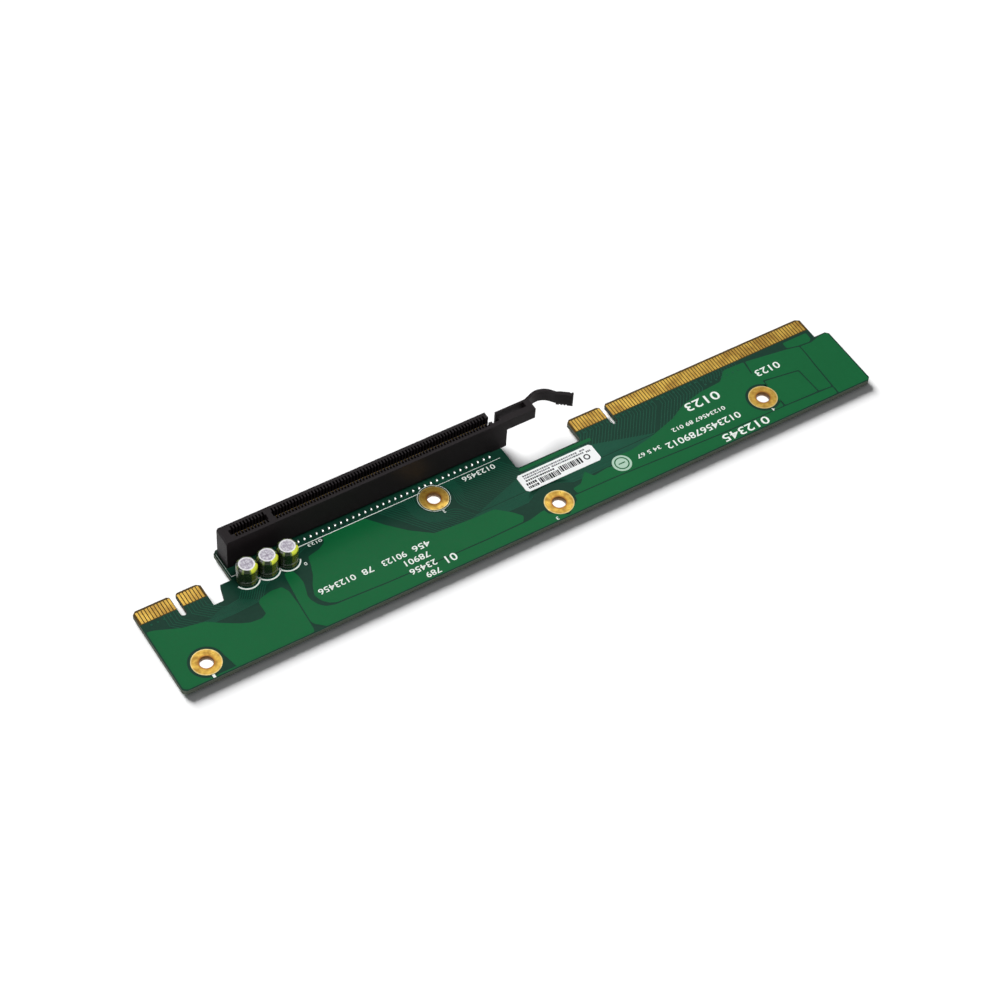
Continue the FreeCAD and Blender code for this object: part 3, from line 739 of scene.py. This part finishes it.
topPours = [pourMesh(outline, 0.0) for outline in makePours()]
underPours = [pourMesh(outline, underside - copperSizes["thickness"]) for outline in makeUnderPours()]
keep("copper_pours_top", joinMeshes("copperPoursTop", topPours), "copperPour")
keep("copper_pours_underside", joinMeshes("copperPoursUnder", underPours), "copperPour")

trackSizes = {"width": 0.2, "high": 0.022, "root": 26.2, "holeGap": 0.4, "step": 0.3, "reach": 9.0}


# How near a straight-sided path comes to the middle of a mounting hole
def nearestPass(path):
    nearest = boardLength
    for start, end in zip(path[:-1], path[1:]):
        start, end = Vector(start), Vector(end)
        for hole in holes.values():
            share = (hole.xy - start).dot(end - start) / (end - start).length_squared
            foot = start.lerp(end, min(1.0, max(0.0, share)))
            nearest = min(nearest, (hole.xy - foot).length)
    return nearest


# The path squeezed out of the clearances of the mounting holes that it meets, in short steps
def roundHoles(path):
    reach = trackSizes["reach"]
    gap = copperSizes["ringGap"]
    points = [Vector(path[0])]
    for start, end in zip(path[:-1], path[1:]):
        start, end = Vector(start), Vector(end)
        parts = max(1, round((end - start).length / trackSizes["step"]))
        steps = [start.lerp(end, (i + 1) / parts) for i in range(parts)]
        points += [point for point in steps[:-1]
                   if min((point - hole.xy).length for hole in holes.values()) < reach]
        points.append(steps[-1])
    for hole in holes.values():
        for point in points:
            away = point - hole.xy
            if away.length < reach:
                point += away.normalized() * (gap + away.length * (reach - gap) / reach - away.length)
    return points


longBundle = {"count": 40, "finger": 144.75, "fingerPitch": 1.08, "drop": 24.6, "dropStep": 0.06,
              "firstLane": 20.9, "lastLane": 10.4, "turn": 0.75, "rise": 28.9, "end": 29.7,
              "slot": 117.2, "slotPitch": 1.02}


# The bundle from the long edge connector, under the label, to the slot's right part
def longTracks():
    size = longBundle
    paths = []
    for i in range(size["count"]):
        t = i / (size["count"] - 1)
        fingerX = size["finger"] + size["fingerPitch"] * i
        laneY = size["firstLane"] + (size["lastLane"] - size["firstLane"]) * t
        drop = size["drop"] - size["dropStep"] * i
        slotX = size["slot"] - size["slotPitch"] * i
        path = [(fingerX, trackSizes["root"]), (fingerX, drop),
                (fingerX - (drop - laneY) * size["turn"], laneY),
                (slotX + (size["rise"] - laneY) * size["turn"], laneY),
                (slotX, size["rise"]), (slotX, size["end"])]
        if nearestPass(path) > trackSizes["holeGap"]:
            paths.append(roundHoles(path))
    return paths


wideBundle = {"count": 13, "first": 189.0, "pitch": 1.0, "drop": 25.0, "lean": 0.9, "end": 23.6,
              "stagger": 0.12}


# Short tracks from the far contacts of the long edge, each towards a via
def wideTracks():
    size = wideBundle
    paths = []
    for i in range(size["count"]):
        x = size["first"] + size["pitch"] * i
        paths.append([(x, trackSizes["root"]), (x, size["drop"]),
                      (x - size["lean"], size["end"] - size["stagger"] * (i % 3))])
    return paths


shortBundle = {"count": 11, "finger": 19.6, "pitch": 1.0, "pastKey": 5, "keyGap": 2.4, "drop": 23.6,
               "dropStep": 0.16, "lane": 19.9, "laneFall": 3.4, "bend": 24.4, "out": 28.4,
               "outPitch": 0.55, "slot": 34.5, "slotPitch": 2.0, "rise": 28.2, "end": 29.6}


# The bundle from the short edge connector, under the capacitors, to the slot's left part
def shortTracks():
    size = shortBundle
    paths = []
    for i in range(size["count"]):
        fingerX = size["finger"] - size["pitch"] * i - (size["keyGap"] if i > size["pastKey"] else 0.0)
        drop = size["drop"] - size["dropStep"] * i
        laneY = size["lane"] - size["laneFall"] * i / (size["count"] - 1)
        turnX = max(fingerX + (drop - laneY) * 0.9, fingerX + 0.6)
        outX = size["out"] + size["outPitch"] * i
        slotX = size["slot"] + size["slotPitch"] * i
        paths.append([(fingerX, trackSizes["root"]), (fingerX, drop), (turnX, laneY + 0.7),
                      (size["bend"], laneY + 0.4), (outX, laneY + 0.9), (outX + 3.2, laneY + 5.0),
                      (slotX, size["rise"]), (slotX, size["end"])])
    return paths


viaSizes = {
    "radius": 0.34,
    "bore": 0.17,
    "high": 0.035,
    "rows": [(158.25, 25.1, 16, 2.0), (146.3, 24.9, 5, 2.0), (188.4, 22.9, 7, 2.0),  # x, y, count, pitch
             (56.0, 29.2, 9, 2.0), (3.0, 24.9, 4, 2.0), (135.5, 19.9, 3, 2.6)],
}


# A small plated hole under the mask: a low ring with a dimple
def viaMesh():
    radius, bore, high = viaSizes["radius"], viaSizes["bore"], viaSizes["high"]
    return turnedMesh([(0, 0), (radius, 0), (radius - 0.02, high), (bore, high), (bore - 0.03, high / 3),
                       (0, high / 4)], 12)


viaRows = [rowMesh(viaMesh(), (x, y, 0), count, pitch, "trace") for x, y, count, pitch in viaSizes["rows"]]
keep("vias_top", joinMeshes("viasTop", viaRows), "trace")
bundles = [ribbonMesh(paths, trackSizes["width"], trackSizes["high"])
           for paths in (longTracks(), wideTracks(), shortTracks())]
keep("tracks_top", joinMeshes("tracksTop", bundles), "trace")
print("stage: copper")


# Gold on the underside, and the walls of the mounting holes

fingerSizes = {"width": 0.7, "root": 26.4, "tip": 30.64, "thickness": 0.04, "round": 0.12, "pitch": 1.0,
               "rows": [(1.1, 11), (14.1, 7), (144.75, 11), (157.75, 71)]}  # first contact, count


def underFinger():
    half = fingerSizes["width"] / 2
    outline = rounded(rectangle(-half, fingerSizes["root"], half, fingerSizes["tip"]),
                      fingerSizes["round"], 2)
    return plateMesh([outline], underside - fingerSizes["thickness"], underside)


def ringLand(hole):
    return plateMesh([circlePoints(hole.x, hole.y, holeSizes["ring"], 64),
                      circlePoints(hole.x, hole.y, holeSizes["bore"])],
                     underside - holeSizes["landThickness"], underside)


def holeBarrel(hole):
    outer = holeSizes["bore"]
    inner = outer - holeSizes["wall"]
    barrel = turnedMesh([(outer, 0.04), (inner, 0.02), (inner, underside - 0.02),
                         (outer, underside - 0.04)], 48, True)
    barrel.transform(Matrix.Translation((hole.x, hole.y, 0)))
    return barrel


underGold = [rowMesh(underFinger(), (x, 0, 0), count, fingerSizes["pitch"], "gold")
             for x, count in fingerSizes["rows"]]
underGold += [ringLand(hole) for hole in holes.values()]
barrels = [holeBarrel(hole) for hole in holes.values()]
keep("gold_underside", joinMeshes("goldUnderside", underGold), "gold")
keep("hole_walls", joinMeshes("holeWalls", barrels), "holeWall")
print("stage: gold")


# Printed marks

printSizes = {
    "high": 0.05,
    "digit": 0.7,  # a digit's height as a share of the font's size
    "weight": 0.015,
    "line": {"front": slotLow.y - 1.84, "left": slotLow.x - 0.5, "right": 119.2, "width": 0.12},
    "ring": (4.78, 4.9),
    "arc": {"inner": 3.45, "outer": 3.9, "from": 200, "to": 340},
    "markHeight": 1.1,
    "markHalf": 0.4,
    "marks": {"a": (-0.35, -5.1), "b": (0.1, -5.6), "c": (-3.6, -4.8), "d": (0.0, -5.4)},
}


def printPlate(loops):
    return plateMesh(loops, 0.0, printSizes["high"])


# Plain numbers read from the back edge, fitted between two ends along the board
def textMesh(words, left, right, y, height):
    curve = bpy.data.curves.new("words", "FONT")
    curve.body = words
    curve.size = height / printSizes["digit"]
    curve.align_x = "CENTER"
    curve.align_y = "CENTER"
    curve.extrude = printSizes["high"] / 2
    curve.offset = height * printSizes["weight"]
    curve.resolution_u = 3
    mesh = meshFromCurve(curve)
    across = [vertex.co.x for vertex in mesh.vertices]
    fit = (right - left) / (max(across) - min(across))
    mesh.transform(Matrix.Translation(((left + right) / 2, y, printSizes["high"] / 2))
                   @ Matrix.Rotation(math.pi, 4, "Z") @ Matrix.Diagonal((fit, 1, 1, 1))
                   @ Matrix.Translation((-(max(across) + min(across)) / 2, 0, 0)))
    return mesh


# The line before the slot, the ring of hole B, the capacitors' arcs and the holes' numbers
def makeMarks():
    line = printSizes["line"]
    path = [(line["left"], slotHigh.y - 0.1), (line["left"], line["front"]), (line["right"], line["front"])]
    marks = [ribbonMesh([path], line["width"], printSizes["high"])]
    inner, outer = printSizes["ring"]
    marks.append(printPlate([circlePoints(holes["b"].x, holes["b"].y, outer, 64),
                             circlePoints(holes["b"].x, holes["b"].y, inner, 64)]))
    arc = printSizes["arc"]
    for can in capacitors:
        marks.append(printPlate([circlePoints(can.x, can.y, arc["outer"], 32, arc["from"], arc["to"])
                                 + circlePoints(can.x, can.y, arc["inner"], 32, arc["to"], arc["from"])]))
    for number, (letter, (x, y)) in enumerate(printSizes["marks"].items(), start=1):
        x += holes[letter].x
        marks.append(textMesh(str(number), x - printSizes["markHalf"], x + printSizes["markHalf"],
                              y + holes[letter].y, printSizes["markHeight"]))
    return marks


numberRows = [  # words, left end, right end, middle line, height
    ("0123456", 48.7, 60.5, 11.8, 2.0),
    ("78", 62.8, 66.2, 11.8, 2.0),
    ("90123", 69.3, 77.1, 11.8, 2.0),
    ("456", 79.4, 85.0, 12.0, 2.0),
    ("78901", 74.9, 82.9, 8.6, 2.0),
    ("23456", 74.6, 83.2, 5.2, 2.0),
    ("789", 78.1, 82.8, 2.1, 1.9),
    ("01", 85.8, 89.3, 4.2, 2.6),
    ("0123", 54.2, 58.8, 27.9, 1.0),
    ("0", 50.1, 51.0, 22.6, 1.1),
    ("0123456", 105.2, 116.2, 27.1, 1.7),
    ("0123", 177.8, 189.8, 18.0, 3.1),
    ("01234567 89 012", 169.3, 188.3, 12.6, 1.4),
    ("0123456789012", 164.5, 190.8, 8.3, 2.3),
    ("34 5 67", 154.6, 162.8, 9.2, 1.4),
    ("012345", 180.8, 197.2, 2.5, 2.8),
    ("0123", 204.2, 212.8, 19.0, 2.5),
]
silk = makeMarks() + [textMesh(*row) for row in numberRows]
keep("printed_marks", joinMeshes("printedMarks", silk), "printedWhite")
print("stage: print")


# Label, with its marks placed from its front left corner

labelPrint = {
    "bottom": labelHigh.z - 0.02,
    "top": labelHigh.z + 0.012,
    "dash": (0.25, 0.7),
    "dashGap": 0.18,
    "missing": 0.05,  # the share of dashes left out
    "bars": (0.2, 0.3, 0.45, 0.6),
    "barGaps": (0.15, 0.2, 0.3),
    "ring": (22.4, 2.9, 1.05, 0.65),
}


def inkPlate(loops):
    return plateMesh(loops, labelPrint["bottom"], labelPrint["top"])


# Rows of short dashes that look like small print from a distance, with no letters
def inkLines(rows, seed, missing=labelPrint["missing"]):
    draw = random.Random(seed)
    meshes = []
    for y, left, right, height in rows:
        y += labelLow.y
        x = labelLow.x + left
        end = labelLow.x + right
        while x < end:
            length = draw.uniform(*labelPrint["dash"])
            if draw.random() > missing and x + length < end:
                meshes.append(inkPlate([rectangle(x, y, x + length, y + height)]))
            x += length + labelPrint["dashGap"]
    return meshes


def inkBars(left, right, front, back, seed):
    draw = random.Random(seed)
    meshes = []
    x = labelLow.x + left
    while x < labelLow.x + right:
        width = draw.choice(labelPrint["bars"])
        meshes.append(inkPlate([rectangle(x, labelLow.y + front, x + width, labelLow.y + back)]))
        x += width + draw.choice(labelPrint["barGaps"])
    return meshes


def inkRing(x, y, outer, inner):
    x += labelLow.x
    y += labelLow.y
    return inkPlate([circlePoints(x, y, outer, 32), circlePoints(x, y, inner, 32)])


faint = inkLines([(5.45, 1.8, 23.8, 0.55), (4.55, 1.8, 22.4, 0.55)], 5)
dark = inkBars(5.4, 12.0, 1.0, 3.0, 8)
dark += inkBars(12.8, 20.2, 1.6, 3.8, 21)
dark += inkLines([(0.8, 1.3, 5.1, 0.9), (2.1, 1.3, 5.1, 0.9), (3.5, 1.8, 12.0, 0.6)], 3)
dark.append(inkRing(*labelPrint["ring"]))
dark += inkLines([(4.3, 23.2, 25.0, 0.6)], 4, 0.0)
keep("label_small_print", joinMeshes("labelSmallPrint", faint), "faintInk")
keep("label_bars", joinMeshes("labelBars", dark), "ink")

stickerSizes = {"x": 149.3, "y": 9.4, "radius": 3.0, "high": 0.09, "outer": 2.3, "inner": 1.9,
                "dashLong": 2.2, "dashWide": 0.4, "sunk": 0.02, "lift": 0.01}


def makeSticker():
    x, y, high = stickerSizes["x"], stickerSizes["y"], stickerSizes["high"]
    halfLong = stickerSizes["dashLong"] / 2
    halfWide = stickerSizes["dashWide"] / 2
    disc = plateMesh([circlePoints(x, y, stickerSizes["radius"])], 0.0, high)
    marks = [plateMesh(loops, high - stickerSizes["sunk"], high + stickerSizes["lift"]) for loops in (
        [circlePoints(x, y, stickerSizes["outer"]), circlePoints(x, y, stickerSizes["inner"])],
        [rectangle(x - halfLong, y - halfWide, x + halfLong, y + halfWide)],
    )]
    keep("round_sticker", disc, "paleSticker")
    keep("round_sticker_ring", joinMeshes("roundStickerRing", marks), "copperPour")


makeSticker()
print("stage: label")


# Solder joints

solderSizes = {
    "pitch": 2.0,
    "count": 41,
    "first": 36.53,  # the front tails' first one, which stand setback before the housing
    "setback": 0.28,
    "width": 0.4,
    "pin": 0.8,  # how far a pin reaches below the board
    "pinLine": 34.308,  # the middle line of the pins' rows
    "pinRows": [(34.5, 2.75), (35.5, 1.25)],  # first pin, and how far the row's pair lies from the middle
    "lead": 1.25,  # a capacitor's middle to its lead
    "leadSpread": 1.5,
}


# A contact's tail: it comes out under the housing, turns down and ends in a cone of solder
def tailMesh():
    half = solderSizes["width"] / 2
    whole = bmesh.new()
    outline = [(0.5, 0.4), (0.08, 0.4), (-0.12, 0.3), (-0.24, 0.0), (0.24, 0.0), (0.24, 0.22), (0.5, 0.22)]
    sides = [[whole.verts.new((x, y, z)) for y, z in outline] for x in (-half, half)]
    whole.faces.new(sides[0])
    whole.faces.new(sides[1][::-1])
    for k in range(len(outline)):
        j = (k + 1) % len(outline)
        whole.faces.new((sides[0][k], sides[1][k], sides[1][j], sides[0][j]))
    cone = turnedMesh([(0, 0), (0.34, 0), (0.3, 0.05), (0.22, 0.12), (0.16, 0.24), (0, 0.28)], 12)
    return joinMeshes("tail", [outwardMesh(whole, "tail"), cone])


# A soldered pin end below the board: a fillet that narrows to a blunt pin
def jointMesh():
    pin = solderSizes["pin"]
    return turnedMesh([(0, 0), (0.62, 0), (0.5, -0.1), (0.32, -0.28), (0.24, -0.45), (0.22, -pin),
                       (0, -pin - 0.04)], 14)


def makeUnderJoints():
    joints = []
    for x, side in solderSizes["pinRows"]:
        start = (x, solderSizes["pinLine"] - side, underside)
        joints.append(rowMesh(jointMesh(), start, solderSizes["count"], solderSizes["pitch"], "solder",
                              2, 2 * side))
    for can in capacitors:
        for side in (-solderSizes["lead"], solderSizes["lead"]):
            joint = jointMesh()
            joint.transform(Matrix.Translation((can.x + side, can.y, underside)) @ Matrix.Diagonal(
                (solderSizes["leadSpread"], solderSizes["leadSpread"], 1, 1)))
            joints.append(joint)
    return joints


tailStart = (solderSizes["first"], slotLow.y - solderSizes["setback"], 0.0)
frontTails = rowMesh(tailMesh(), tailStart, solderSizes["count"], solderSizes["pitch"], "solder")
keep("solder_front_row", frontTails, "solder")
keep("solder_underside", joinMeshes("solderUnderside", makeUnderJoints()), "solder")
print("stage: solder")


# Capacitors

capacitorSizes = {"radius": 3.15, "height": 7.0, "canRadius": 2.48, "canDrop": 0.14}


def capacitorSleeve():
    r = capacitorSizes["radius"]
    h = capacitorSizes["height"]
    lip = capacitorSizes["canRadius"]
    profile = [(r - 0.28, 0.02), (r - 0.1, 0.1), (r - 0.06, 0.9), (r - 0.24, 1.25), (r - 0.24, 1.45),
               (r - 0.02, 1.85), (r, 2.4), (r, h - 1.25), (r - 0.03, h - 0.95), (r - 0.12, h - 0.65),
               (r - 0.28, h - 0.38), (r - 0.48, h - 0.16), (lip + 0.04, h), (lip - 0.05, h - 0.05),
               (lip - 0.06, h - 0.2), (lip - 0.06, 0.02)]
    mesh = turnedMesh(profile, 72, True)
    storeValues(mesh, "turn", lambda point: math.degrees(math.atan2(point.y, point.x)))
    storeValues(mesh, "rise", lambda point: point.z)
    return mesh


def capacitorCan():
    r = capacitorSizes["canRadius"]
    h = capacitorSizes["height"] - capacitorSizes["canDrop"]
    profile = [(0, 0.3), (r, 0.3), (r, h - 0.04), (r - 0.12, h), (r - 0.5, h - 0.01), (r - 0.68, h - 0.09)]
    profile += [(radius, h - 0.1) for radius in (1.7, 1.4, 1.1, 0.8, 0.5, 0.2, 0.0)]
    mesh = turnedMesh(profile, 72)
    storeValues(mesh, "acrossX", lambda point: point.x)
    storeValues(mesh, "acrossY", lambda point: point.y)
    return mesh


for number, can in enumerate(capacitors, start=1):
    place = toRow @ Matrix.Translation((can.x, can.y, 0))
    sleeve = keep("capacitor_%d_printed_sleeve" % number, capacitorSleeve(), "sleeve", place)
    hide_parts("capacitor_%d_sleeve" % number)
    body = keep("capacitor_%d_vented_can" % number, capacitorCan(), "can", place)
    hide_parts("capacitor_%d_can" % number)
print("stage: capacitors")


# Stage

floorLook = {"half": 6.0, "base": (0.92, 0.92, 0.92, 1), "roughness": 0.9, "specular": 0.1}


def makeFloor():
    half = floorLook["half"]
    floorMesh = bpy.data.meshes.new("floor")
    floorMesh.from_pydata([(x, y, 0) for x, y in rectangle(-half, -half, half, half)], [], [(0, 1, 2, 3)])
    material, tree, shader = newMaterial("floorPaper")
    shade, _ = addMottle(tree, floorLook["base"], 0.01, 3.0, 20.0)
    feed(tree, shader, {"Base Color": shade, "Roughness": floorLook["roughness"],
                        "Specular IOR Level": floorLook["specular"]})
    floorMesh.materials.append(material)
    floor = addObject("floor", floorMesh)
    return floor


studioLight = {
    "ambient": 0.17,
    "ambientTint": (0.97, 0.98, 1, 1),
    "glossyShare": 0.3,
    "suns": {  # where it shines, power, angle, and whether it lights the floor alone
        "shadowLight": ((0.15, -0.84, -0.56), 5.8, 32.0, True),
        "keyLight": ((-0.25, 0.3, -1.0), 2.05, 35.0, False),
        "leftLight": ((1.0, 0.1, -0.4), 0.75, 30.0, False),
        "backLight": ((-0.3, -1.0, -0.8), 0.4, 30.0, False),
    },
    "softbox": {"place": (0.36, 0.63, 0.94), "target": (-0.04, 0, 0), "size": 0.4, "power": 0.9},
    "holeSpot": {"power": 5.0, "angle": 1.2, "blend": 0.2, "radius": 0.0005, "away": 0.3},
}


# The camera sees a white world, which lights the part dimly and shows in part in its gloss
def makeWorld():
    world = bpy.data.worlds.new("studio")
    world.use_nodes = True
    tree = world.node_tree
    tree.nodes.clear()
    seen = addNode(tree, "ShaderNodeBackground", {"Color": (1, 1, 1, 1), "Strength": 1.0})
    lit = addNode(tree, "ShaderNodeBackground", {"Color": studioLight["ambientTint"],
                                                 "Strength": studioLight["ambient"]})
    path = addNode(tree, "ShaderNodeLightPath").outputs
    straight = mathNode(tree, "MAXIMUM", path["Is Camera Ray"], path["Is Transmission Ray"])
    glossy = mathNode(tree, "MULTIPLY", path["Is Glossy Ray"], studioLight["glossyShare"])
    share = mathNode(tree, "MINIMUM", mathNode(tree, "ADD", straight, glossy), 1.0)
    mix = addNode(tree, "ShaderNodeMixShader", {0: share, 1: lit.outputs[0], 2: seen.outputs[0]})
    addNode(tree, "ShaderNodeOutputWorld", {"Surface": mix.outputs[0]})
    bpy.context.scene.world = world


# A lamp that lights either the floor alone or everything but the floor
def addLamp(light, place, towards, floor, forFloor):
    lamp = addObject(light.name, light)
    lamp.location = place
    lamp.rotation_euler = Vector(towards).to_track_quat("-Z", "Y").to_euler()
    receivers = bpy.data.collections.new(light.name + "Receivers")
    receivers.objects.link(floor)
    receivers.collection_objects[0].light_linking.link_state = "INCLUDE" if forFloor else "EXCLUDE"
    lamp.light_linking.receiver_collection = receivers


def addSun(name, towards, power, angle, forFloor, floor):
    light = bpy.data.lights.new(name, "SUN")
    light.energy = power
    light.angle = math.radians(angle)
    addLamp(light, (0, 0, 0), towards, floor, forFloor)


# A round softbox whose reflection brightens the middle of the board
def addSoftbox(floor):
    box = studioLight["softbox"]
    light = bpy.data.lights.new("glossLight", "AREA")
    light.shape = "DISK"
    light.size = box["size"]
    light.energy = box["power"]
    addLamp(light, box["place"], Vector(box["target"]) - Vector(box["place"]), floor, False)


# A narrow spot down the camera's line through a mounting hole, so the floor seen in it is white
def addHoleSpot(hole, floor):
    spot = studioLight["holeSpot"]
    light = bpy.data.lights.new("holeLight", "SPOT")
    light.energy = spot["power"]
    light.spot_size = math.radians(spot["angle"])
    light.spot_blend = spot["blend"]
    light.shadow_soft_size = spot["radius"]
    place = toRow @ Vector((hole.x, hole.y, underside / 2))
    back = (Vector(cameraPlace["place"]) - place).normalized()
    addLamp(light, place + back * spot["away"], -back, floor, True)


def makeLights(floor):
    for name, sun in studioLight["suns"].items():
        addSun(name, *sun, floor)
    addSoftbox(floor)
    for hole in holes.values():
        addHoleSpot(hole, floor)


cameraPlace = {
    "place": (-0.30015, -0.42150, 0.62367),
    "forward": (0.36580, 0.51874, -0.77272),
    "right": (0.84895, -0.52624, 0.04861),
    "lens": 99.96,
    "sensor": 36.0,
}


def makeCamera():
    forward = Vector(cameraPlace["forward"]).normalized()
    right = Vector(cameraPlace["right"]).normalized()
    data = bpy.data.cameras.new("camera")
    data.lens = cameraPlace["lens"]
    data.sensor_width = cameraPlace["sensor"]
    camera = addObject("camera", data)
    turn = Matrix((right, right.cross(forward), -forward)).transposed().to_4x4()
    camera.matrix_world = Matrix.Translation(cameraPlace["place"]) @ turn
    bpy.context.scene.camera = camera


floor = makeFloor()
makeWorld()
makeLights(floor)
makeCamera()
bpy.context.scene.view_settings.view_transform = "Standard"
print("stage: studio")
